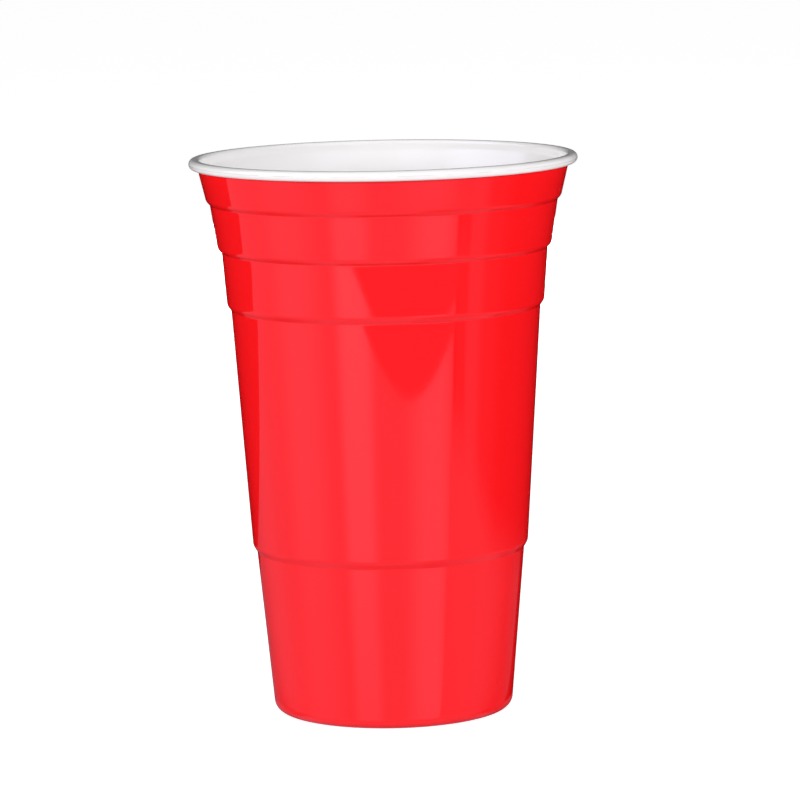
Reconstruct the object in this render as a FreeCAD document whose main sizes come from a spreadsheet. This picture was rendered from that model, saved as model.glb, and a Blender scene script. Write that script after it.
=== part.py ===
import FreeCAD, Part
import math
import os
import Sketcher

# Party cup: one formed sheet with a raised base, a stepped wall and a hollow rolled rim.
# Millimetres. The cup stands on z = 0 on its foot ring, with its axis along +Z.
# From the foot up, the wall has five bands: skirt, grip, collar, shoulder and flare.
# A ledge stands at the top of each of the first four, where the wall steps outwards.

SIZES = {
    # Overall
    "cup_height": 150.0,
    "rim_diameter": 104.0,
    "foot_diameter": 64.1,
    "wall": 0.6,
    # Bands. The grip has no height or draft of its own: it takes up what the others leave.
    "skirt_height": 43.8,
    "skirt_draft": 5.25,
    "collar_height": 14.25,
    "collar_draft": 4.6,
    "shoulder_height": 11.85,
    "shoulder_draft": 8.85,
    "flare_height": 8.55,
    "flare_draft": 13.4,
    # Ledges
    "skirt_ledge_width": 1.05,
    "skirt_ledge_rise": 1.75,
    "grip_ledge_width": 1.05,
    "grip_ledge_rise": 1.35,
    "collar_ledge_width": 1.03,
    "collar_ledge_rise": 0.95,
    "shoulder_ledge_width": 1.0,
    "shoulder_ledge_rise": 1.08,
    # Raised base, with a hub that is raised once more
    "base_rise": 3.2,
    "base_slope": 60.0,
    "hub_rise": 0.8,
    "hub_slope": 30.0,
    "hub_diameter": 28.0,
    "ring_inner_diameter": 49.0,
    # Inside radii of the bends
    "foot_bend": 2.4,
    "lip_bend": 1.6,
    "root_bend": 0.5,
    "base_bend": 1.0,
    "neck_bend": 4.0,
    # Rolled rim
    "roll_height": 2.65,
    "roll_overhang": 2.4,
    "roll_bend": 0.35,
    "roll_gap": 0.25,
}

# The inside corners of a ledge lie above the outside ones by this share of the wall.
# That keeps a ledge that rises at about 50 degrees as thick as the wall beside it.
LEDGE_MITRE = 0.37

BANDS = ["skirt", "grip", "collar", "shoulder", "flare"]
LEDGES = BANDS[:-1]

doc = FreeCAD.newDocument("party_cup")
sheet = doc.addObject("Spreadsheet::Sheet", "sizes")
for row, (name, value) in enumerate(SIZES.items(), start=1):
    sheet.set("A%d" % row, name)
    sheet.set("B%d" % row, str(value))
    sheet.setAlias("B%d" % row, name)
doc.recompute()

body = doc.addObject("PartDesign::Body", "cup")
body.Label = "cup"


def tangent(name):
    return math.tan(math.radians(SIZES[name]))


def add_sketch(name):
    """A sketch on the upright plane through the cup's axis: x is the radius and y the height."""
    sketch = body.newObject("Sketcher::SketchObject", name)
    plane = [item for item in body.Origin.OriginFeatures if item.Role == "XZ_Plane"][0]
    sketch.AttachmentSupport = [(plane, "")]
    sketch.MapMode = "FlatFace"
    return sketch


def cells(expression):
    """The expression with each size written as a cell of the sheet."""
    words = []
    for word in expression.split():
        words.append("sizes." + word if word in SIZES else word)
    return " ".join(words)


def drawn(sketch, kind, references):
    """The size that a dimension has in the sketch as it is drawn."""
    if kind == "Radius":
        return sketch.Geometry[references[0]].Radius
    span = sketch.getPoint(*references[2:]) - sketch.getPoint(*references[:2])
    return span.x if kind == "DistanceX" else span.y


def bind(sketch, kind, *references, size):
    """Adds a dimension to the sketch and ties it to an expression of the sheet's cells."""
    start = drawn(sketch, kind, references)
    index = sketch.addConstraint(Sketcher.Constraint(kind, *references, start))
    sketch.setExpression("Constraints[%d]" % index, cells(size))


def turn_round_axis(name, sketch):
    """The solid that the sketch sweeps in one full turn round the cup's axis."""
    feature = body.newObject("PartDesign::Revolution", name)
    feature.Profile = sketch
    feature.ReferenceAxis = (sketch, ["V_Axis"])
    feature.Angle = 360.0
    doc.recompute()
    return feature


def rings_at(shape, corners):
    """Names of the circular edges that pass through the given corners of the section."""
    found = []
    for index, edge in enumerate(shape.Edges, start=1):
        if not isinstance(edge.Curve, Part.Circle):
            continue
        ring = FreeCAD.Vector(edge.Curve.Radius, edge.Curve.Center.z, 0.0)
        if any(ring.distanceToPoint(corner) < 1e-4 for corner in corners):
            found.append("Edge%d" % index)
    return found


def round_corners(name, corners, size):
    """Rounds the edges at the given corners with one radius."""
    base = body.Tip
    edges = rings_at(base.Shape, corners)
    if len(edges) != len(corners):
        raise RuntimeError("%s: %d edges for %d corners" % (name, len(edges), len(corners)))
    feature = body.newObject("PartDesign::Fillet", name)
    feature.Base = (base, edges)
    feature.setExpression("Radius", cells(size))
    doc.recompute()
    return feature


def section_corners():
    """The outside face's corners from the axis outwards and up, and how the wall lies on them.

    Each entry is a name, a starting radius and height, and the two expressions that
    carry the corner on the outside face over to its partner on the inside face.
    """
    rise = SIZES["base_rise"]
    hub_edge = SIZES["hub_diameter"] / 2
    ring_edge = SIZES["ring_inner_diameter"] / 2
    hub_turn = "wall * tan( hub_slope / 2 * 1 deg )"
    base_turn = "wall * tan( base_slope / 2 * 1 deg )"
    corners = [
        ("hub", 0.0, rise + SIZES["hub_rise"], "0", "wall"),
        ("hub_edge", hub_edge, rise + SIZES["hub_rise"], hub_turn, "wall"),
        ("hub_foot", hub_edge + SIZES["hub_rise"] / tangent("hub_slope"), rise, hub_turn, "wall"),
        ("base_edge", ring_edge - rise / tangent("base_slope"), rise, base_turn, "wall"),
        ("ring_edge", ring_edge, 0.0, base_turn, "wall"),
        (
            "foot_edge",
            SIZES["foot_diameter"] / 2,
            0.0,
            "wall * ( tan( skirt_draft * 1 deg ) - 1 / cos( skirt_draft * 1 deg ) )",
            "wall",
        ),
    ]
    inwards = "-1 * wall"
    upwards = "wall * %g" % LEDGE_MITRE
    radius, height = corners[-1][1:3]
    for band in LEDGES:
        radius += band_spread(band)
        height += band_height(band)
        corners.append((band + "_root", radius, height, inwards, upwards))
        radius += SIZES[band + "_ledge_width"]
        height += SIZES[band + "_ledge_rise"]
        corners.append((band + "_lip", radius, height, inwards, upwards))
    corners.append(("neck", neck_radius(), neck_height(), inwards, "0"))
    return corners


def neck_radius():
    return SIZES["rim_diameter"] / 2 - SIZES["roll_overhang"]


def neck_height():
    return SIZES["cup_height"] - SIZES["roll_height"]


def band_height(band):
    """A band's height; the grip fills what the other bands and the ledges leave."""
    if band != "grip":
        return SIZES[band + "_height"]
    others = sum(SIZES[other + "_height"] for other in BANDS if other != "grip")
    return neck_height() - others - sum(SIZES[ledge + "_ledge_rise"] for ledge in LEDGES)


def band_spread(band):
    """How far a band leans out over its height; the grip takes up the rest of the taper."""
    if band != "grip":
        return SIZES[band + "_height"] * tangent(band + "_draft")
    others = sum(band_spread(other) for other in BANDS if other != "grip")
    ledges = sum(SIZES[ledge + "_ledge_width"] for ledge in LEDGES)
    return neck_radius() - SIZES["foot_diameter"] / 2 - others - ledges


def wall_section():
    """Base and stepped wall as one closed section: outside face up, inside face back down."""
    sketch = add_sketch("wall_section")
    corners = section_corners()
    outside = [FreeCAD.Vector(radius, height, 0.0) for _, radius, height, _, _ in corners]
    wall = SIZES["wall"]
    inside = [point + FreeCAD.Vector(-wall if point.x else 0.0, wall, 0.0) for point in outside]
    loop = outside + inside[::-1]
    count = len(loop)
    for index in range(count):
        sketch.addGeometry(Part.LineSegment(loop[index], loop[(index + 1) % count]), False)
    for index in range(count):
        following = (index + 1) % count
        sketch.addConstraint(Sketcher.Constraint("Coincident", index, 2, following, 1))

    # Corner number k of the outside face is the start of line k, and its partner on the
    # inside face is the start of the line as far from the loop's end.
    names = [corner[0] for corner in corners]
    place = {name: index for index, name in enumerate(names)}
    origin = (-1, 1)

    def level(first, second):
        sketch.addConstraint(Sketcher.Constraint("Horizontal", first, 1, second, 1))

    def from_origin(kind, name, size):
        bind(sketch, kind, *origin, place[name], 1, size=size)

    def between(kind, first, second, size):
        bind(sketch, kind, place[first], 1, place[second], 1, size=size)

    sketch.addConstraint(Sketcher.Constraint("PointOnObject", 0, 1, -2))
    from_origin("DistanceY", "hub", "base_rise + hub_rise")
    level(place["hub"], place["hub_edge"])
    from_origin("DistanceX", "hub_edge", "hub_diameter / 2")
    between("DistanceX", "hub_edge", "hub_foot", "hub_rise / tan( hub_slope * 1 deg )")
    from_origin("DistanceY", "hub_foot", "base_rise")
    level(place["hub_foot"], place["base_edge"])
    between("DistanceX", "base_edge", "ring_edge", "base_rise / tan( base_slope * 1 deg )")
    from_origin("DistanceX", "ring_edge", "ring_inner_diameter / 2")
    sketch.addConstraint(Sketcher.Constraint("PointOnObject", place["ring_edge"], 1, -1))
    sketch.addConstraint(Sketcher.Constraint("PointOnObject", place["foot_edge"], 1, -1))
    from_origin("DistanceX", "foot_edge", "foot_diameter / 2")
    from_origin("DistanceX", "neck", "rim_diameter / 2 - roll_overhang")
    from_origin("DistanceY", "neck", "cup_height - roll_height")

    start = "foot_edge"
    for band in BANDS:
        end = "neck" if band == "flare" else band + "_root"
        if band != "grip":
            spread = "%s_height * tan( %s_draft * 1 deg )" % (band, band)
            between("DistanceX", start, end, spread)
            between("DistanceY", start, end, band + "_height")
        if band in LEDGES:
            start = band + "_lip"
            between("DistanceX", end, start, band + "_ledge_width")
            between("DistanceY", end, start, band + "_ledge_rise")

    for index, (_, _, _, across, up) in enumerate(corners):
        partner = count - 1 - index
        if across == "0":
            sketch.addConstraint(Sketcher.Constraint("PointOnObject", partner, 1, -2))
        else:
            bind(sketch, "DistanceX", index, 1, partner, 1, size=across)
        if up == "0":
            level(index, partner)
        else:
            bind(sketch, "DistanceY", index, 1, partner, 1, size=up)
    doc.recompute()
    lines = sketch.Geometry
    outer = {name: lines[index].StartPoint for name, index in place.items()}
    inner = {name: lines[count - 1 - index].StartPoint for name, index in place.items()}
    return sketch, outer, inner


def roll_section():
    """The rolled rim: the wall turns upright, over the top and back in under itself.

    The show face runs up the inside, over the top and round the outside. The hidden face
    lies one wall thickness within it, and a narrow gap stays between the sheet's end and
    the wall.
    """
    sketch = add_sketch("roll_section")
    wall = SIZES["wall"]
    top = SIZES["cup_height"]
    bottom = neck_height()
    outermost = SIZES["rim_diameter"] / 2
    hidden = neck_radius()
    shown = hidden - wall
    small = SIZES["roll_bend"] + wall
    large = SIZES["roll_height"] / 2
    end = hidden + SIZES["roll_gap"]

    def line(start, finish):
        ends = FreeCAD.Vector(*start, 0.0), FreeCAD.Vector(*finish, 0.0)
        return sketch.addGeometry(Part.LineSegment(*ends), False)

    def arc(centre, radius, first, last):
        circle = Part.Circle(FreeCAD.Vector(*centre, 0.0), FreeCAD.Vector(0.0, 0.0, 1.0), radius)
        limits = math.radians(first), math.radians(last)
        return sketch.addGeometry(Part.ArcOfCircle(circle, *limits), False)

    # Each arc runs anticlockwise, so its start is its lower or right-hand end.
    small_centre = (shown + small, top - small)
    large_centre = (outermost - large, top - large)
    show_rise = line((shown, bottom), (shown, top - small))
    show_turn = arc(small_centre, small, 90, 180)
    show_top = line((shown + small, top), (outermost - large, top))
    show_roll = arc(large_centre, large, -90, 90)
    show_tuck = line((outermost - large, bottom), (end, bottom))
    edge = line((end, bottom), (end, bottom + wall))
    hide_tuck = line((end, bottom + wall), (outermost - large, bottom + wall))
    hide_roll = arc(large_centre, large - wall, -90, 90)
    hide_top = line((outermost - large, top - wall), (shown + small, top - wall))
    hide_turn = arc(small_centre, small - wall, 90, 180)
    hide_rise = line((hidden, top - small), (hidden, bottom))
    join = line((hidden, bottom), (shown, bottom))

    for first, first_end, second, second_end in [
        (show_rise, 2, show_turn, 2),
        (show_turn, 1, show_top, 1),
        (show_top, 2, show_roll, 2),
        (show_roll, 1, show_tuck, 1),
        (hide_tuck, 2, hide_roll, 1),
        (hide_roll, 2, hide_top, 1),
        (hide_top, 2, hide_turn, 1),
        (hide_turn, 2, hide_rise, 1),
    ]:
        sketch.addConstraint(Sketcher.Constraint("Tangent", first, first_end, second, second_end))
    for first, second in [(show_tuck, edge), (edge, hide_tuck), (hide_rise, join), (join, show_rise)]:
        sketch.addConstraint(Sketcher.Constraint("Coincident", first, 2, second, 1))
    sketch.addConstraint(Sketcher.Constraint("Coincident", show_turn, 3, hide_turn, 3))
    sketch.addConstraint(Sketcher.Constraint("Coincident", show_roll, 3, hide_roll, 3))
    for upright in (show_rise, edge, hide_rise):
        sketch.addConstraint(Sketcher.Constraint("Vertical", upright))
    for flat in (show_top, show_tuck, hide_top, hide_tuck, join):
        sketch.addConstraint(Sketcher.Constraint("Horizontal", flat))

    origin = (-1, 1)
    bind(sketch, "DistanceX", *origin, join, 1, size="rim_diameter / 2 - roll_overhang")
    bind(sketch, "DistanceY", *origin, join, 1, size="cup_height - roll_height")
    bind(sketch, "DistanceX", join, 2, join, 1, size="wall")
    bind(sketch, "DistanceY", show_rise, 1, show_top, 1, size="roll_height")
    bind(sketch, "DistanceX", *origin, show_roll, 3, size="rim_diameter / 2 - roll_height / 2")
    bind(sketch, "Radius", hide_turn, size="roll_bend")
    bind(sketch, "DistanceX", join, 1, edge, 1, size="roll_gap")
    sketch.addConstraint(Sketcher.Constraint("Horizontal", edge, 1, join, 1))
    doc.recompute()
    return sketch


def cup():
    """The whole cup: turned section, rounded bends, rolled rim."""
    section, outer, inner = wall_section()
    turn_round_axis("stepped_wall", section)

    def places(face, ending, names):
        return [face[name + ending] for name in names]

    round_corners("lips_outside", places(outer, "_lip", LEDGES), "lip_bend + wall")
    round_corners("lips_inside", places(inner, "_lip", LEDGES), "lip_bend")
    round_corners("roots_outside", places(outer, "_root", LEDGES), "root_bend")
    round_corners("roots_inside", places(inner, "_root", LEDGES), "root_bend + wall")
    round_corners("foot_outside", [outer["foot_edge"]], "foot_bend + wall")
    round_corners("foot_inside", [inner["foot_edge"]], "foot_bend")
    crests = ["hub_edge", "base_edge"]
    troughs = ["hub_foot", "ring_edge"]
    round_corners("base_crests_above", places(inner, "", crests), "base_bend + wall")
    round_corners("base_crests_below", places(outer, "", crests), "base_bend")
    round_corners("base_troughs_above", places(inner, "", troughs), "base_bend")
    round_corners("base_troughs_below", places(outer, "", troughs), "base_bend + wall")
    turn_round_axis("rolled_rim", roll_section())
    round_corners("neck_inside", [inner["neck"]], "neck_bend")
    return body


def failed_objects():
    return [item.Name for item in doc.Objects if {"Invalid", "Error"} & set(item.State)]


solid = cup()
doc.recompute()
if failed_objects():
    raise RuntimeError("failed: " + ", ".join(failed_objects()))
if solid.Shape.isNull() or not solid.Shape.isValid() or len(solid.Shape.Solids) != 1:
    raise RuntimeError("the cup is not one valid solid")

os.makedirs("parts", exist_ok=True)
solid.Shape.exportStep("parts/%s.step" % solid.Label)
box = solid.Shape.BoundBox
print("box mm", [round(value, 3) for value in (box.XLength, box.YLength, box.ZMin, box.ZMax)])
print("volume cm3", round(solid.Shape.Volume / 1000.0, 3))
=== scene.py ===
import math

import bpy
from mathutils import Matrix, Vector


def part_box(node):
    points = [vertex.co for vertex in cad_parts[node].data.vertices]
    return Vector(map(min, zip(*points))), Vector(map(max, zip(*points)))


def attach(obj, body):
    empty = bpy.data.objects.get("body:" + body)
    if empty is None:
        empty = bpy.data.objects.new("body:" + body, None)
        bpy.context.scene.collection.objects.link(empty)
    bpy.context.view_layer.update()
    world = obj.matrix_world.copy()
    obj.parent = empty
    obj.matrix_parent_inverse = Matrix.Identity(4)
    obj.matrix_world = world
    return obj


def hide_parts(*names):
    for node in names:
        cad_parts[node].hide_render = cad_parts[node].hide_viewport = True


# Party cup: one turned sheet, red outside and white inside, in a plain white studio.
# Metres and degrees. The sizes of the section repeat those of the CAD source.

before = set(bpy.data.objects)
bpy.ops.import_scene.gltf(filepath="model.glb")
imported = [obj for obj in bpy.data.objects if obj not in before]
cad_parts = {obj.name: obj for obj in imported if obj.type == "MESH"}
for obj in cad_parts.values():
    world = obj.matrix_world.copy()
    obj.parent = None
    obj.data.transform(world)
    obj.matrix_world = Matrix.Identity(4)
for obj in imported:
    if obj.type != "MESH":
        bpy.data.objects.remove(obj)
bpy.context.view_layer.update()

MM = 0.001

# Overall
cup_low, cup_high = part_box("cup")
CUP_HEIGHT = cup_high.z
RIM_RADIUS = (cup_high.x - cup_low.x) / 2
FOOT_RADIUS = 32.05 * MM
WALL = 0.6 * MM

# Bands from the foot up. The grip has no height or draft of its own: it takes up the rest.
BAND_HEIGHT = {"skirt": 43.8 * MM, "collar": 14.25 * MM, "shoulder": 11.85 * MM, "flare": 8.55 * MM}
BAND_DRAFT = {"skirt": 5.25, "collar": 4.6, "shoulder": 8.85, "flare": 13.4}
BANDS = ["skirt", "grip", "collar", "shoulder", "flare"]
LEDGES = BANDS[:-1]
LEDGE_WIDTH = {"skirt": 1.05 * MM, "grip": 1.05 * MM, "collar": 1.03 * MM, "shoulder": 1.0 * MM}
LEDGE_RISE = {"skirt": 1.75 * MM, "grip": 1.35 * MM, "collar": 0.95 * MM, "shoulder": 1.08 * MM}
# How far the inside corners of a ledge lie above the outside ones
LEDGE_MITRE = 0.37 * WALL

# Raised base
BASE_RISE = 3.2 * MM
BASE_SLOPE = 60.0
HUB_RISE = 0.8 * MM
HUB_SLOPE = 30.0
HUB_RADIUS = 14.0 * MM
RING_INNER_RADIUS = 24.5 * MM

# Inside radii of the bends. The outside of a bend is one wall thickness more.
FOOT_BEND = 2.4 * MM
LIP_BEND = 1.6 * MM
ROOT_BEND = 0.5 * MM
BASE_BEND = 1.0 * MM
NECK_BEND = 4.0 * MM

# Rolled rim
ROLL_HEIGHT = 2.65 * MM
ROLL_OVERHANG = 2.4 * MM
ROLL_BEND = 0.35 * MM
ROLL_GAP = 0.25 * MM
SHEET_END_BEND = 0.12 * MM
# The sheet's end begins at this corner of the roll, counted from 1.
SHEET_END_CORNER = 4

# Fineness of the turned mesh
SEGMENTS = 224
BEND_STEP = math.radians(7.0)
FEWEST_BEND_STEPS = 3
RUN_STEP = 5.0 * MM
RUN_MARGIN = 0.12 * MM
SHORTEST_RUN = 4 * RUN_MARGIN

# Material slots of the cup
RED_SLOT = 0
WHITE_SLOT = 1


def tangent(degrees):
    return math.tan(math.radians(degrees))


def outside_corners():
    """The outside face from the axis out, round the foot and up to the neck."""
    hub = BASE_RISE + HUB_RISE
    hub_foot = HUB_RADIUS + HUB_RISE / tangent(HUB_SLOPE)
    base_edge = RING_INNER_RADIUS - BASE_RISE / tangent(BASE_SLOPE)
    corners = [
        ("hub_edge", HUB_RADIUS, hub, BASE_BEND),
        ("hub_foot", hub_foot, BASE_RISE, BASE_BEND + WALL),
        ("base_edge", base_edge, BASE_RISE, BASE_BEND),
        ("ring_edge", RING_INNER_RADIUS, 0.0, BASE_BEND + WALL),
        ("foot_edge", FOOT_RADIUS, 0.0, FOOT_BEND + WALL),
    ]
    neck_radius = RIM_RADIUS - ROLL_OVERHANG
    neck_height = CUP_HEIGHT - ROLL_HEIGHT
    grip_height = neck_height - sum(BAND_HEIGHT.values()) - sum(LEDGE_RISE.values())
    spreads = {band: BAND_HEIGHT[band] * tangent(BAND_DRAFT[band]) for band in BAND_HEIGHT}
    grip_spread = neck_radius - FOOT_RADIUS - sum(spreads.values()) - sum(LEDGE_WIDTH.values())
    radius, height = FOOT_RADIUS, 0.0
    for band in LEDGES:
        radius += spreads.get(band, grip_spread)
        height += BAND_HEIGHT.get(band, grip_height)
        corners.append((band + "_root", radius, height, ROOT_BEND))
        radius += LEDGE_WIDTH[band]
        height += LEDGE_RISE[band]
        corners.append((band + "_lip", radius, height, LIP_BEND + WALL))
    corners.append(("neck", neck_radius, neck_height, ROLL_BEND))
    return corners


def inside_corners(outside):
    """The partner of each outside corner on the inside face, in the same order."""
    hub_turn = WALL * tangent(HUB_SLOPE / 2)
    base_turn = WALL * tangent(BASE_SLOPE / 2)
    skirt_draft = math.radians(BAND_DRAFT["skirt"])
    foot_turn = WALL * (math.tan(skirt_draft) - 1 / math.cos(skirt_draft))
    shifts = {
        "hub_edge": (hub_turn, WALL, BASE_BEND + WALL),
        "hub_foot": (hub_turn, WALL, BASE_BEND),
        "base_edge": (base_turn, WALL, BASE_BEND + WALL),
        "ring_edge": (base_turn, WALL, BASE_BEND),
        "foot_edge": (foot_turn, WALL, FOOT_BEND),
        "neck": (-WALL, 0.0, NECK_BEND),
    }
    for band in LEDGES:
        shifts[band + "_root"] = (-WALL, LEDGE_MITRE, ROOT_BEND + WALL)
        shifts[band + "_lip"] = (-WALL, LEDGE_MITRE, LIP_BEND)
    partners = []
    for name, radius, height, _ in outside:
        across, up, bend = shifts[name]
        partners.append((radius + across, height + up, bend))
    return partners


def roll_corners():
    """The rolled rim from the neck's outside: hidden face out, sheet's end, show face back."""
    bottom = CUP_HEIGHT - ROLL_HEIGHT
    hidden = RIM_RADIUS - ROLL_OVERHANG
    end = hidden + ROLL_GAP
    large = ROLL_HEIGHT / 2
    return [
        (hidden, CUP_HEIGHT - WALL, ROLL_BEND),
        (RIM_RADIUS - WALL, CUP_HEIGHT - WALL, large - WALL),
        (RIM_RADIUS - WALL, bottom + WALL, large - WALL),
        (end, bottom + WALL, SHEET_END_BEND),
        (end, bottom, SHEET_END_BEND),
        (RIM_RADIUS, bottom, large),
        (RIM_RADIUS, CUP_HEIGHT, large),
        (hidden - WALL, CUP_HEIGHT, ROLL_BEND + WALL),
    ]


def bend_points(before, corner, after, bend):
    """Points of the arc that rounds a corner, from the end of one run to the start of the next."""
    back = (before - corner).normalized()
    ahead = (after - corner).normalized()
    opening = back.angle(ahead)
    turn = math.pi - opening
    cut = bend / math.tan(opening / 2)
    centre = corner + (back + ahead).normalized() * (bend / math.sin(opening / 2))
    start = corner + back * cut - centre
    clockwise = back.cross(ahead) > 0
    steps = max(FEWEST_BEND_STEPS, math.ceil(turn / BEND_STEP))
    points = []
    for step in range(steps + 1):
        angle = turn * step / steps * (-1 if clockwise else 1)
        points.append(centre + Matrix.Rotation(angle, 2) @ start)
    return points


def run_points(start, finish):
    """Points along a straight run, with one close to each end so that the shading stays flat."""
    length = (finish - start).length
    if length < SHORTEST_RUN:
        return []
    along = (finish - start) / length
    first = start + along * RUN_MARGIN
    last = finish - along * RUN_MARGIN
    steps = max(1, math.ceil(length / RUN_STEP))
    return [first.lerp(last, step / steps) for step in range(steps + 1)]


def section():
    """The sheet's closed section from the axis below to the axis above, and its white part.

    Each point is a radius and a height. The second value is the number of the point at
    which the sheet's end begins: from there on the face is white.
    """
    outside = outside_corners()
    inside = inside_corners(outside)
    corners = [(radius, height, bend) for _, radius, height, bend in outside]
    end_number = len(corners) + SHEET_END_CORNER
    corners += roll_corners() + inside[::-1]
    places = [Vector((radius, height)) for radius, height, _ in corners]
    below = Vector((0.0, BASE_RISE + HUB_RISE))
    above = Vector((0.0, BASE_RISE + HUB_RISE + WALL))
    places = [below] + places + [above]
    points = [below]
    white_from = None
    for number, (_, _, bend) in enumerate(corners, start=1):
        arc = bend_points(places[number - 1], places[number], places[number + 1], bend)
        points += run_points(points[-1], arc[0])
        if number == end_number:
            white_from = len(points)
        points += arc
    points += run_points(points[-1], above)
    points.append(above)
    return points, white_from


def cup_shell(name, red, white):
    """The section turned round the axis, with a red and a white face."""
    points, white_from = section()
    rings = points[1:-1]
    vertices = []
    for radius, height in rings:
        for number in range(SEGMENTS):
            angle = math.tau * number / SEGMENTS
            vertices.append((radius * math.cos(angle), radius * math.sin(angle), height))
    below, above = len(vertices), len(vertices) + 1
    vertices += [(0.0, 0.0, points[0].y), (0.0, 0.0, points[-1].y)]
    faces = []
    slots = []
    top_ring = (len(rings) - 1) * SEGMENTS
    for number in range(SEGMENTS):
        following = (number + 1) % SEGMENTS
        faces.append((below, following, number))
        slots.append(RED_SLOT)
        for ring in range(len(rings) - 1):
            lower, upper = ring * SEGMENTS, (ring + 1) * SEGMENTS
            faces.append((lower + number, lower + following, upper + following, upper + number))
            # Ring 0 is point 1, so the face above a ring ends at point ring + 2.
            slots.append(RED_SLOT if ring + 2 < white_from else WHITE_SLOT)
        faces.append((above, top_ring + number, top_ring + following))
        slots.append(WHITE_SLOT)
    mesh = bpy.data.meshes.new(name)
    mesh.from_pydata(vertices, [], faces)
    mesh.polygons.foreach_set("material_index", slots)
    mesh.polygons.foreach_set("use_smooth", [True] * len(faces))
    mesh.materials.append(red)
    mesh.materials.append(white)
    mesh.validate()
    shell = bpy.data.objects.new(name, mesh)
    bpy.context.scene.collection.objects.link(shell)
    return shell


class Nodes:
    """Short calls for building a node tree."""

    def __init__(self, tree):
        self.tree = tree
        tree.nodes.clear()

    def add(self, kind, inputs=(), **settings):
        node = self.tree.nodes.new(kind)
        for key, value in settings.items():
            setattr(node, key, value)
        for key, value in dict(inputs).items():
            self.put(node.inputs[key], value)
        return node

    def put(self, socket, value):
        if isinstance(value, bpy.types.NodeSocket):
            self.tree.links.new(value, socket)
        else:
            socket.default_value = value

    def math(self, operation, first, second=0.0):
        return self.add("ShaderNodeMath", {0: first, 1: second}, operation=operation).outputs[0]

    def ramp(self, value, start, finish, low=0.0, high=1.0):
        """The value carried over from start...finish to low...high, and held beyond both."""
        limits = {"From Min": start, "From Max": finish, "To Min": low, "To Max": high}
        return self.add("ShaderNodeMapRange", {"Value": value, **limits}).outputs[0]


def new_material(name):
    material = bpy.data.materials.new(name)
    material.use_nodes = True
    return material, Nodes(material.node_tree)


# The two faces of the sheet: colour, the slightly deeper colour of its mottling, and relief in metres
RED = (0.94, 0.0092, 0.0125, 1.0)
DEEP_RED = (0.93, 0.0086, 0.0118, 1.0)
RED_ROUGHNESS = 0.045
RED_WAVINESS = 0.3e-6
WHITE = (0.88, 0.862, 0.868, 1.0)
DEEP_WHITE = (0.87, 0.852, 0.858, 1.0)
WHITE_ROUGHNESS = 0.10
WHITE_WAVINESS = 1.0e-6
SHEET_IOR = 1.5

# Patterns of the sheet, in noise cells per metre. The draw lines are stretched up the wall.
MOTTLING_SCALE = 60.0
LINE_SCALE = 420.0
LINE_STRETCH = (1.0, 1.0, 0.12)
SKIN_SCALE = 1500.0
LINE_RELIEF = 0.85
SKIN_RELIEF = 0.15
GLOSS_CHANGE = 0.15


def gloss_plastic(name, color, deep_color, roughness, waviness):
    """Smooth formed sheet: slight tone mottling, draw lines up the wall and uneven gloss."""
    material, nodes = new_material(name)
    place = nodes.add("ShaderNodeTexCoord").outputs["Object"]
    drawn = nodes.add("ShaderNodeMapping", {"Vector": place, "Scale": LINE_STRETCH}).outputs[0]
    mottling = nodes.add(
        "ShaderNodeTexNoise",
        {"Vector": place, "Scale": MOTTLING_SCALE, "Detail": 3.0, "Roughness": 0.55},
    ).outputs[0]
    lines = nodes.add(
        "ShaderNodeTexNoise",
        {"Vector": drawn, "Scale": LINE_SCALE, "Detail": 2.0, "Roughness": 0.5},
    ).outputs[0]
    skin = nodes.add(
        "ShaderNodeTexNoise", {"Vector": place, "Scale": SKIN_SCALE, "Detail": 1.0}
    ).outputs[0]
    tone = nodes.add(
        "ShaderNodeMix", {"Factor": mottling, "A": color, "B": deep_color}, data_type="RGBA"
    ).outputs["Result"]
    line_relief = nodes.math("MULTIPLY", lines, LINE_RELIEF)
    skin_relief = nodes.math("MULTIPLY", skin, SKIN_RELIEF)
    relief = nodes.math("ADD", line_relief, skin_relief)
    bump = nodes.add(
        "ShaderNodeBump", {"Strength": 1.0, "Distance": waviness, "Height": relief}
    ).outputs[0]
    smoothest = roughness * (1 - GLOSS_CHANGE)
    roughest = roughness * (1 + GLOSS_CHANGE)
    gloss = nodes.ramp(lines, 0.0, 1.0, smoothest, roughest)
    shader = nodes.add(
        "ShaderNodeBsdfPrincipled",
        {"Base Color": tone, "Roughness": gloss, "IOR": SHEET_IOR, "Normal": bump},
    )
    nodes.add("ShaderNodeOutputMaterial", {"Surface": shader.outputs[0]})
    return material


# The photograph's camera, found by fitting the rim, the ledges and the foot to it.
# Sensor and lens are in millimetres, as Blender has them.
CAMERA_DISTANCE = 1.2220
CAMERA_HEIGHT = 0.2514
CAMERA_PITCH = 7.8098
CAMERA_YAW = 0.1537
CAMERA_ROLL = -1.1385
CAMERA_SENSOR = 36.0
CAMERA_LENS = 206.2
CAMERA_CLIP = (0.05, 50.0)


def add_camera():
    pitch, yaw, roll = [math.radians(value) for value in (CAMERA_PITCH, CAMERA_YAW, CAMERA_ROLL)]
    ahead = Vector(
        (math.sin(yaw) * math.cos(pitch), math.cos(yaw) * math.cos(pitch), -math.sin(pitch))
    )
    level = Vector((math.cos(yaw), -math.sin(yaw), 0.0))
    upright = level.cross(ahead)
    right = math.cos(roll) * level + math.sin(roll) * upright
    up = math.cos(roll) * upright - math.sin(roll) * level
    data = bpy.data.cameras.new("camera")
    data.sensor_width = CAMERA_SENSOR
    data.lens = CAMERA_LENS
    data.clip_start, data.clip_end = CAMERA_CLIP
    camera = bpy.data.objects.new("camera", data)
    turn = Matrix((right, up, -ahead)).transposed()
    place = Matrix.Translation((0.0, -CAMERA_DISTANCE, CAMERA_HEIGHT))
    camera.matrix_world = place @ turn.to_4x4()
    bpy.context.scene.collection.objects.link(camera)
    bpy.context.scene.camera = camera


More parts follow.
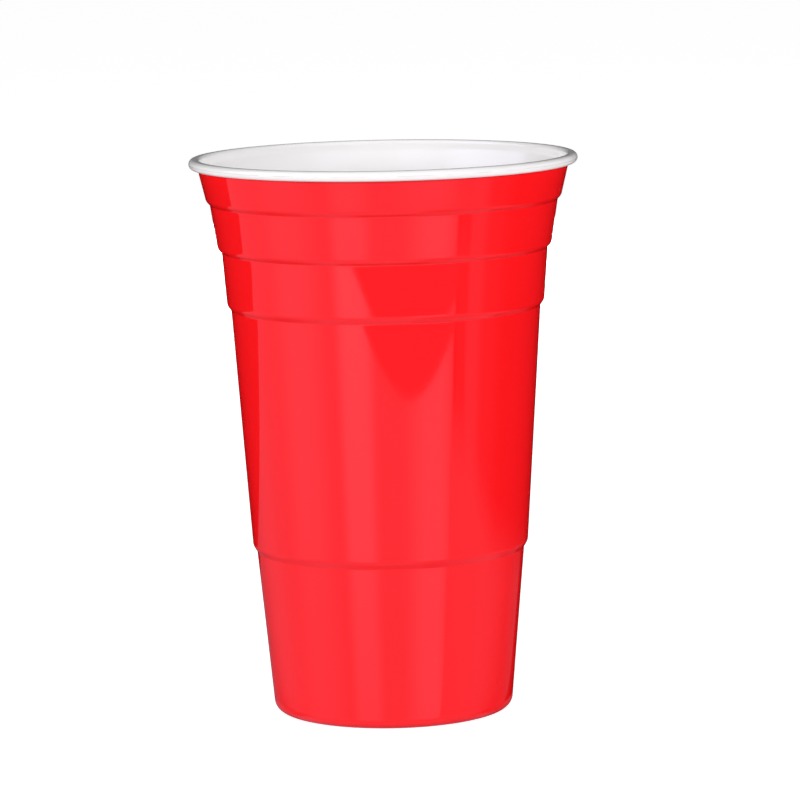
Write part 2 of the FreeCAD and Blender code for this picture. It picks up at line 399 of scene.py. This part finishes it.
class Rise:
    """A soft change: nothing up to start, the full amount from finish on, smooth in between."""

    def __init__(self, amount, start, finish):
        self.amount = amount
        self.start = start
        self.finish = finish

    def at(self, value):
        share = min(max((value - self.start) / (self.finish - self.start), 0.0), 1.0)
        return self.amount * share * share * (3 - 2 * share)


class Panel:
    """A soft panel: its level between left and right, fading over the blur beyond each."""

    def __init__(self, level, left, right, left_blur, right_blur):
        self.level = level
        self.fade_in = Rise(1.0, left - left_blur, left)
        self.fade_out = Rise(1.0, right, right + right_blur)

    def at(self, value):
        return self.level * self.fade_in.at(value) * (1 - self.fade_out.at(value))


def place_at(azimuth, radius, height):
    """A point round the cup. Azimuth 0 is towards the camera and + is to its right."""
    angle = math.radians(azimuth)
    return (radius * math.sin(angle), -radius * math.cos(angle), height)


def round_azimuth(column):
    """The azimuth on a sheet that runs all round the cup."""
    return 360.0 * column - 180.0


def panel_material(name, color, facing_range=None):
    """Glow by the mesh's own light and cover values: a painted reflection, not a lamp. With a facing
    range, only steep views see it.
    """
    material, nodes = new_material(name)
    material.cycles.emission_sampling = "NONE"
    light = nodes.add("ShaderNodeAttribute", attribute_name="light").outputs["Fac"]
    cover = nodes.add("ShaderNodeAttribute", attribute_name="cover").outputs["Fac"]
    if facing_range:
        facing = nodes.add("ShaderNodeLayerWeight", {"Blend": 0.5}).outputs["Facing"]
        cover = nodes.ramp(facing, *facing_range)
    glow = nodes.add("ShaderNodeEmission", {"Color": color, "Strength": light}).outputs[0]
    clear = nodes.add("ShaderNodeBsdfTransparent").outputs[0]
    mix = nodes.add("ShaderNodeMixShader", {0: cover, 1: clear, 2: glow}).outputs[0]
    nodes.add("ShaderNodeOutputMaterial", {"Surface": mix})
    return material


def full_cover(column, row):
    return 1.0


def add_lit_sheet(name, material, place, light, cover=full_cover, *, columns, rows):
    """A thin glowing sheet that only the cup's gloss sees: a painted reflection, which lights
    nothing.

    Place, light and cover are functions of the share of the columns and that of the rows,
    each from 0 to 1.
    """
    vertices = []
    levels = []
    covers = []
    for row in range(rows + 1):
        for column in range(columns + 1):
            share = (column / columns, row / rows)
            vertices.append(place(*share))
            levels.append(light(*share))
            covers.append(cover(*share))
    faces = []
    width = columns + 1
    for row in range(rows):
        for column in range(columns):
            corner = row * width + column
            faces.append((corner, corner + 1, corner + width + 1, corner + width))
    mesh = bpy.data.meshes.new(name)
    mesh.from_pydata(vertices, [], faces)
    mesh.attributes.new("light", "FLOAT", "POINT").data.foreach_set("value", levels)
    mesh.attributes.new("cover", "FLOAT", "POINT").data.foreach_set("value", covers)
    mesh.materials.append(material)
    card = bpy.data.objects.new(name, mesh)
    card.visible_camera = False
    card.visible_diffuse = False
    card.visible_transmission = False
    card.visible_volume_scatter = False
    card.visible_shadow = False
    bpy.context.scene.collection.objects.link(card)


# Painted reflection of the room: a round glowing wall, and a glowing disc that closes it below, which
# only the gloss sees and which light nothing. What lies below the tabletop stands for the image of
# the room in the polished tabletop.
PANEL_COLOR = (1.0, 1.0, 1.3, 1.0)
ROOM_RADIUS = 1.2
ROOM_TOP = 1.8
ROOM_BOTTOM = -0.95
UNDER_LIGHT = 0.30
# The disc has a pinhole of this share of its radius, so that none of its faces is empty.
UNDER_HOLE = 0.001

# Painted reflections of the room's panels by azimuth: level, left and right edge, left and right blur
FRONT_WALL = Panel(0.46, -108.0, 49.5, 1.0, 2.5)
LEFT_WINDOW = Panel(0.25, -71.0, -62.0, 22.0, 20.0)
KEY_PANEL = Panel(0.60, -30.0, -18.0, 11.0, 12.0)
RIGHT_PANEL = Panel(0.36, 30.0, 41.0, 21.0, 12.0)
RIGHT_WALL = Panel(0.10, 54.0, 78.0, 2.0, 22.0)
RIGHT_WINDOW = Panel(0.21, 63.0, 68.0, 4.0, 10.0)
HIGH_PANEL = Panel(1.6, -98.0, -55.0, 15.0, 22.0)

# Changes by azimuth away from the front: amount, start and finish
LEFT_FALLOFF = Rise(0.07, 78.0, 100.0)
BACK_WALL = Rise(0.22, 156.0, 170.0)

# Changes by depth below the tabletop: amount, start and finish
WINDOW_FADE = Rise(0.55, 0.22, 0.42)
KEY_FADE = Rise(0.62, 0.15, 0.58)
RIGHT_FADE = Rise(0.66, 0.46, 0.56)
RIGHT_LEAN = Rise(7.0, 0.46, 0.56)
BACK_WALL_START = Rise(1.0, 0.32, 0.42)
UNDER_START = Rise(1.0, 0.70, 0.95)

# The high panel begins above the tabletop, where only the rim and the inside mirror it.
HIGH_PANEL_START = Rise(1.0, 0.06, 0.20)


def room_light(azimuth, height):
    """How bright the painted reflection of the room is in a direction round the cup and at a height
    over the tabletop.
    """
    depth = -height
    light = max(FRONT_WALL.at(azimuth) - LEFT_FALLOFF.at(-azimuth), 0.0)
    light += LEFT_WINDOW.at(azimuth) * (1 - WINDOW_FADE.at(depth))
    light += KEY_PANEL.at(azimuth) * (1 - KEY_FADE.at(depth))
    light += RIGHT_PANEL.at(azimuth + RIGHT_LEAN.at(depth)) * (1 - RIGHT_FADE.at(depth))
    light += RIGHT_WALL.at(azimuth) + RIGHT_WINDOW.at(azimuth)
    light += HIGH_PANEL.at(azimuth) * HIGH_PANEL_START.at(height)
    light += BACK_WALL.at(abs(azimuth)) * BACK_WALL_START.at(depth)
    under = UNDER_START.at(depth)
    return light * (1 - under) + UNDER_LIGHT * under


def add_room(panels):
    def wall_height(row):
        return ROOM_BOTTOM + (ROOM_TOP - ROOM_BOTTOM) * row

    def wall_place(column, row):
        return place_at(round_azimuth(column), ROOM_RADIUS, wall_height(row))

    def wall_light(column, row):
        return room_light(round_azimuth(column), wall_height(row))

    def under_place(column, row):
        return place_at(round_azimuth(column), ROOM_RADIUS * (UNDER_HOLE + row), ROOM_BOTTOM)

    def under_light(column, row):
        return UNDER_LIGHT

    # Glowing sheets that paint the room's reflection in the cup's gloss
    add_lit_sheet("painted_reflection_wall", panels, wall_place, wall_light, columns=720, rows=72)
    add_lit_sheet("painted_reflection_under", panels, under_place, under_light, columns=72, rows=1)


# Painted reflection of the polished tabletop seen steeply, as the ledges and the foot's bend see it:
# a glowing sheet that only the gloss sees
LEVEL_FACING = 0.50
STEEP_FACING = 0.26
SHADE_HEIGHT = 0.0004
SHADE_START = 0.028
SHADE_REACH = 0.332
SHADE_LIGHT = 0.10
SHADE_FRONT = Panel(0.40, -50.0, 20.0, 60.0, 25.0)
SHADE_RIGHT = Panel(1.0, 20.0, 98.0, 10.0, 16.0)
SHADE_RIGHT_LIGHT = 0.36
SHADE_RIGHT_FALLOFF = Rise(0.10, 0.095, 0.130)
SHADE_BACK = Rise(0.22, 140.0, 165.0)

# Painted shadow in that reflection: the tabletop darkens under the foot's edge and in a ring round
# it, by distance from the axis.
CONTACT_DEPTH = 0.7
SHADE_CONTACT = Rise(1.0, 0.0305, 0.0325)
SHADE_RING = Panel(1.0, 0.041, 0.046, 0.006, 0.010)


def add_painted_table_reflection(polish):
    """Painted reflection of the tabletop near the cup, as if lit from the front, the right and the
    back, with painted shadow at the foot.
    """

    def shade_radius(row):
        return SHADE_START + SHADE_REACH * row * row

    def shade_place(column, row):
        return place_at(round_azimuth(column), shade_radius(row), SHADE_HEIGHT)

    def shade_light(column, row):
        azimuth = round_azimuth(column)
        radius = shade_radius(row)
        front = SHADE_LIGHT + SHADE_FRONT.at(azimuth)
        right_level = SHADE_RIGHT_LIGHT - SHADE_RIGHT_FALLOFF.at(radius)
        right = right_level * SHADE_RIGHT.at(azimuth)
        back = SHADE_BACK.at(abs(azimuth))
        # Painted shadow of the cup on the reflected tabletop
        dark = max(SHADE_RING.at(radius), 1 - SHADE_CONTACT.at(radius))
        return max(front, right, back) * (1 - CONTACT_DEPTH * dark)

    add_lit_sheet("painted_table_reflection", polish, shade_place, shade_light, columns=120, rows=60)


# Painted reflection of a narrow strip of tabletop right at the foot, at its sides and back, with
# painted shadow where it meets the foot
STRIP_HEIGHT = 0.0002
STRIP_START = 0.0285
STRIP_WIDTH = 0.009
STRIP_LIGHT = 0.09
STRIP_LEFT = Rise(0.07, 20.0, 60.0)
STRIP_CONTACT = Rise(1.0, 0.0300, 0.0315)
STRIP_COVER = Rise(1.0, 48.0, 60.0)


def add_painted_foot_reflection(panels):
    def foot_radius(row):
        return STRIP_START + STRIP_WIDTH * row

    def foot_place(column, row):
        return place_at(round_azimuth(column), foot_radius(row), STRIP_HEIGHT)

    def foot_light(column, row):
        # Painted shadow at the contact with the foot
        contact = 1 - STRIP_CONTACT.at(foot_radius(row))
        light = STRIP_LIGHT + STRIP_LEFT.at(-round_azimuth(column))
        return light * (1 - CONTACT_DEPTH * contact)

    def foot_cover(column, row):
        return STRIP_COVER.at(abs(round_azimuth(column)))

    add_lit_sheet("painted_foot_reflection", panels, foot_place, foot_light, foot_cover, columns=120, rows=12)


# Painted reflection of the dark shape in front: a dim glowing sheet that only the gloss sees. Below
# the tabletop is the mirror image of its rounded top, which is lower by the drop at half the shape's
# width from its middle.
DARK_CARD_LIGHT = 0.13
DARK_CARD_RADIUS = 0.64
DARK_CARD_START = -26.0
DARK_CARD_SPAN = 78.0
DARK_CARD_MIDDLE = 15.5
DARK_CARD_HALF = 37.0
DARK_CARD_TOP = 0.078
DARK_CARD_DROP = 0.039
DARK_CARD_CURVE = 1.8


def add_painted_dark_reflection(panels):
    def card_place(column, row):
        azimuth = DARK_CARD_START + DARK_CARD_SPAN * column
        aside = abs(azimuth - DARK_CARD_MIDDLE) / DARK_CARD_HALF
        lowest = DARK_CARD_DROP * aside ** DARK_CARD_CURVE - DARK_CARD_TOP
        return place_at(azimuth, DARK_CARD_RADIUS, lowest + (DARK_CARD_TOP - lowest) * row)

    def card_light(column, row):
        return DARK_CARD_LIGHT

    add_lit_sheet("painted_dark_reflection", panels, card_place, card_light, columns=78, rows=1)


# Painted reflection of the tabletop seen at a low angle, in the directions that the cup's two sides
# mirror: glowing sheets that only the gloss sees. Both parts begin a little inside the foot, and the
# left one ends at a straight back edge.
TABLE_START = 0.037
FOOT_OVERLAP = 0.012
TABLE_BACK = 0.187

LEFT_TABLE_START = -103.0
LEFT_TABLE_SPAN = -77.0
LEFT_TABLE_LIGHT = 0.36
LEFT_TABLE_FALLOFF = Rise(0.26, 110.0, 155.0)

RIGHT_TABLE_START = 49.5
RIGHT_TABLE_SPAN = 104.0
RIGHT_TABLE_LENGTH = 0.43
RIGHT_TABLE_LIGHT = 0.39
RIGHT_TABLE_FALLOFF = Rise(0.30, 84.0, 130.0)
RIGHT_TABLE_EDGE = 0.345
RIGHT_TABLE_EDGE_CHANGE = Rise(0.135, 50.0, 100.0)
RIGHT_TABLE_BLUR = 0.065


def table_point(azimuth, reach):
    """The point of the tabletop that lies in a mirrored direction, reach away from the cup's side."""
    side = place_at(azimuth / 2, TABLE_START, 0.0)
    far = place_at(azimuth, reach, 0.0)
    return (side[0] + far[0], side[1] + far[1], 0.0)


def add_painted_left_table_reflection(panels):
    def left_azimuth(column):
        return LEFT_TABLE_START + LEFT_TABLE_SPAN * column

    def left_place(column, row):
        azimuth = math.radians(left_azimuth(column))
        back = TABLE_BACK + TABLE_START * math.cos(azimuth / 2)
        length = -back / math.cos(azimuth) + FOOT_OVERLAP
        return table_point(left_azimuth(column), length * row - FOOT_OVERLAP)

    def left_light(column, row):
        return LEFT_TABLE_LIGHT - LEFT_TABLE_FALLOFF.at(-left_azimuth(column))

    add_lit_sheet("painted_left_table_reflection", panels, left_place, left_light, columns=77, rows=4)


def add_painted_right_table_reflection(panels):
    def right_azimuth(column):
        return RIGHT_TABLE_START + RIGHT_TABLE_SPAN * column

    def right_place(column, row):
        return table_point(right_azimuth(column), RIGHT_TABLE_LENGTH * row - FOOT_OVERLAP)

    def right_light(column, row):
        return RIGHT_TABLE_LIGHT - RIGHT_TABLE_FALLOFF.at(right_azimuth(column))

    def right_cover(column, row):
        x, y, _ = right_place(column, row)
        edge = RIGHT_TABLE_EDGE - RIGHT_TABLE_EDGE_CHANGE.at(right_azimuth(column))
        fade = Rise(1.0, edge - RIGHT_TABLE_BLUR, edge + RIGHT_TABLE_BLUR)
        return 1 - fade.at(math.hypot(x, y))

    add_lit_sheet("painted_right_table_reflection", panels, right_place, right_light, right_cover, columns=52, rows=40)


def seen_directly(nodes, rays):
    """1 for what the camera sees, also through clear things, and 0 for all other rays."""
    return nodes.math("MAXIMUM", rays["Is Camera Ray"], rays["Is Transmission Ray"])


FLOOR_RADIUS = 12.0
FLOOR_SIDES = 64
FLOOR_COLOR = (0.85, 0.85, 0.85, 1.0)
FLOOR_LIFT = 0.75


def add_floor():
    """A plain white floor that shows white to the camera and keeps the cup's soft shadow."""
    material, nodes = new_material("studio_floor")
    rays = nodes.add("ShaderNodeLightPath").outputs
    seen = seen_directly(nodes, rays)
    base = nodes.add("ShaderNodeBsdfDiffuse", {"Color": FLOOR_COLOR}).outputs[0]
    strength = nodes.math("MULTIPLY", seen, FLOOR_LIFT)
    lift = nodes.add("ShaderNodeEmission", {"Strength": strength}).outputs[0]
    both = nodes.add("ShaderNodeAddShader", {0: base, 1: lift}).outputs[0]
    nodes.add("ShaderNodeOutputMaterial", {"Surface": both})
    corners = []
    for side in range(FLOOR_SIDES):
        corners.append(place_at(360.0 * side / FLOOR_SIDES, FLOOR_RADIUS, 0.0))
    mesh = bpy.data.meshes.new("floor")
    mesh.from_pydata(corners, [], [tuple(range(FLOOR_SIDES))])
    mesh.materials.append(material)
    floor = bpy.data.objects.new("floor", mesh)
    floor.visible_glossy = False
    bpy.context.scene.collection.objects.link(floor)


SKY_COLOR = (1.0, 1.0, 1.0, 1.0)
AMBIENT = 0.27
CEILING_GLOSS = 0.7


def add_world():
    """White to the camera, even soft light for the object, and a pale ceiling for its gloss."""
    world = bpy.data.worlds.new("studio")
    world.use_nodes = True
    nodes = Nodes(world.node_tree)
    rays = nodes.add("ShaderNodeLightPath").outputs
    seen = seen_directly(nodes, rays)
    gloss = nodes.math("MULTIPLY", rays["Is Glossy Ray"], CEILING_GLOSS - AMBIENT)
    plain = nodes.math("ADD", gloss, AMBIENT)
    strength = nodes.math("ADD", plain, nodes.math("MULTIPLY", seen, 1.0 - AMBIENT))
    sky = nodes.add("ShaderNodeBackground", {"Color": SKY_COLOR, "Strength": strength}).outputs[0]
    nodes.add("ShaderNodeOutputWorld", {"Surface": sky})
    bpy.context.scene.world = world


SOFTBOX_DISTANCE = 1.35
SOFTBOX_WIDTH = 1.0


def add_softbox(name, azimuth, middle, tall, power):
    """A wide soft light that stands near table level and faces the cup."""
    data = bpy.data.lights.new(name, "AREA")
    data.shape = "RECTANGLE"
    data.size = SOFTBOX_WIDTH
    data.size_y = tall
    data.energy = power
    lamp = bpy.data.objects.new(name, data)
    place = Vector(place_at(azimuth, SOFTBOX_DISTANCE, middle))
    target = Vector((0.0, 0.0, CUP_HEIGHT / 2))
    lamp.location = place
    lamp.rotation_mode = "QUATERNION"
    lamp.rotation_quaternion = (place - target).to_track_quat("Z", "Y")
    lamp.visible_glossy = False
    bpy.context.scene.collection.objects.link(lamp)


INSIDE_LIGHT_HEIGHT = 0.62
INSIDE_LIGHT_POWER = 4.0
INSIDE_LIGHT_SIZE = 0.02
INSIDE_LIGHT_ANGLE = 11.0
INSIDE_LIGHT_BLEND = 0.6


def add_inside_light():
    """A narrow soft light from straight above that reaches only the inside of the cup."""
    data = bpy.data.lights.new("inside_light", "SPOT")
    data.energy = INSIDE_LIGHT_POWER
    data.shadow_soft_size = INSIDE_LIGHT_SIZE
    data.spot_size = math.radians(INSIDE_LIGHT_ANGLE)
    data.spot_blend = INSIDE_LIGHT_BLEND
    lamp = bpy.data.objects.new("inside_light", data)
    lamp.location = (0.0, 0.0, INSIDE_LIGHT_HEIGHT)
    lamp.visible_glossy = False
    bpy.context.scene.collection.objects.link(lamp)


add_camera()
add_world()
add_floor()

# Glowing materials for the painted reflections, which only the cup's gloss sees
panels = panel_material("painted_reflection_glow", PANEL_COLOR)
polish = panel_material("painted_reflection_polish", PANEL_COLOR, (LEVEL_FACING, STEEP_FACING))
add_room(panels)
add_painted_table_reflection(polish)
add_painted_foot_reflection(panels)
add_painted_dark_reflection(panels)
add_painted_left_table_reflection(panels)
add_painted_right_table_reflection(panels)

add_softbox("left_softbox", azimuth=-58.0, middle=0.46, tall=0.45, power=12.9)
add_softbox("right_softbox", azimuth=48.0, middle=0.46, tall=0.45, power=13.3)
add_softbox("back_softbox", azimuth=180.0, middle=0.20, tall=0.36, power=12.0)
add_inside_light()

red = gloss_plastic("red_outside", RED, DEEP_RED, RED_ROUGHNESS, RED_WAVINESS)
white = gloss_plastic("white_inside", WHITE, DEEP_WHITE, WHITE_ROUGHNESS, WHITE_WAVINESS)
shell = cup_shell("cup_shell", red, white)
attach(shell, "root")
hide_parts("cup")

bpy.context.scene.view_settings.view_transform = "Standard"
